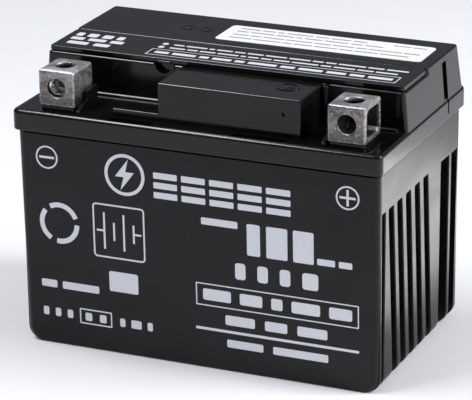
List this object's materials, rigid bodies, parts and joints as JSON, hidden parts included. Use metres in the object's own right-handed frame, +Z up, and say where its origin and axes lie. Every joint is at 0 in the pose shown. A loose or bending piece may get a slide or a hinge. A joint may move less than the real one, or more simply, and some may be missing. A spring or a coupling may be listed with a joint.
{
  "type": "motorcycle battery",
  "caption": "Sealed lead-acid motorcycle battery: tapered ribbed case, heat-sealed lid with terminal bays, lift-off cap strip, hollow cube terminals with a square nut, plate stacks inside.",
  "frame": {"origin": "centre of the base", "axes": "+X along the length towards the positive terminal, -Y the printed front, +Z up"},
  "size_m": [0.113, 0.07, 0.085],
  "materials": {
    "case_plastic": "semi-gloss moulded black polypropylene",
    "lid_plastic": "glossy moulded black polypropylene",
    "cast_lead": "dull mottled cast lead alloy",
    "zinc_steel": "bright zinc-plated steel",
    "plate_lead": "grey pasted lead plate",
    "plate_oxide": "dark brown pasted lead dioxide plate",
    "glass_mat": "white absorbent glass mat",
    "rubber": "matte black acid-resistant rubber",
    "paper": "white satin label paper"
  },
  "bodies": {
    "battery": {"case": "case_plastic", "lid_front": "lid_plastic", "lid_rear": "lid_plastic", "kerb_negative": "lid_plastic", "kerb_positive": "lid_plastic", "terminal_negative": "cast_lead", "terminal_positive": "cast_lead", "post_negative": "cast_lead", "post_positive": "cast_lead", "post_seal_negative": "rubber", "post_seal_positive": "rubber", "top_label": "paper", "negative_plates_1": "plate_lead", "positive_plates_1": "plate_oxide", "separator_1": "glass_mat", "negative_plates_2": "plate_lead", "positive_plates_2": "plate_oxide", "separator_2": "glass_mat", "negative_plates_3": "plate_lead", "positive_plates_3": "plate_oxide", "separator_3": "glass_mat", "negative_plates_4": "plate_lead", "positive_plates_4": "plate_oxide", "separator_4": "glass_mat", "negative_plates_5": "plate_lead", "positive_plates_5": "plate_oxide", "separator_5": "glass_mat", "negative_plates_6": "plate_lead", "positive_plates_6": "plate_oxide", "separator_6": "glass_mat", "cell_connector_1": "cast_lead", "cell_connector_2": "cast_lead", "cell_connector_3": "cast_lead", "cell_connector_4": "cast_lead", "cell_connector_5": "cast_lead"},
    "cap_strip": {"strip_cover": "lid_plastic", "plug_carrier": "case_plastic", "plug_seal_1": "rubber", "plug_seal_2": "rubber", "plug_seal_3": "rubber", "plug_seal_4": "rubber", "plug_seal_5": "rubber", "plug_seal_6": "rubber"},
    "terminal_nut": {"nut_negative": "zinc_steel"},
    "valve_1": {"valve_1": "rubber"},
    "valve_2": {"valve_2": "rubber"},
    "valve_3": {"valve_3": "rubber"},
    "valve_4": {"valve_4": "rubber"},
    "valve_5": {"valve_5": "rubber"},
    "valve_6": {"valve_6": "rubber"}
  },
  "joints": [
    {"name": "strip_lift", "type": "slide", "parent": "battery", "child": "cap_strip", "axis": [0, 0, 1], "range_m": [0, 0.018]},
    {"name": "nut_slide", "type": "slide", "parent": "battery", "child": "terminal_nut", "axis": [-1, 0, 0], "range_m": [0, 0.012]},
    {"name": "valve_1_lift", "type": "slide", "parent": "cap_strip", "child": "valve_1", "axis": [0, 0, 1], "range_m": [0, 0.0005], "stiffness_N_per_m": 100},
    {"name": "valve_2_lift", "type": "slide", "parent": "cap_strip", "child": "valve_2", "axis": [0, 0, 1], "range_m": [0, 0.0005], "stiffness_N_per_m": 100},
    {"name": "valve_3_lift", "type": "slide", "parent": "cap_strip", "child": "valve_3", "axis": [0, 0, 1], "range_m": [0, 0.0005], "stiffness_N_per_m": 100},
    {"name": "valve_4_lift", "type": "slide", "parent": "cap_strip", "child": "valve_4", "axis": [0, 0, 1], "range_m": [0, 0.0005], "stiffness_N_per_m": 100},
    {"name": "valve_5_lift", "type": "slide", "parent": "cap_strip", "child": "valve_5", "axis": [0, 0, 1], "range_m": [0, 0.0005], "stiffness_N_per_m": 100},
    {"name": "valve_6_lift", "type": "slide", "parent": "cap_strip", "child": "valve_6", "axis": [0, 0, 1], "range_m": [0, 0.0005], "stiffness_N_per_m": 100}
  ]
}
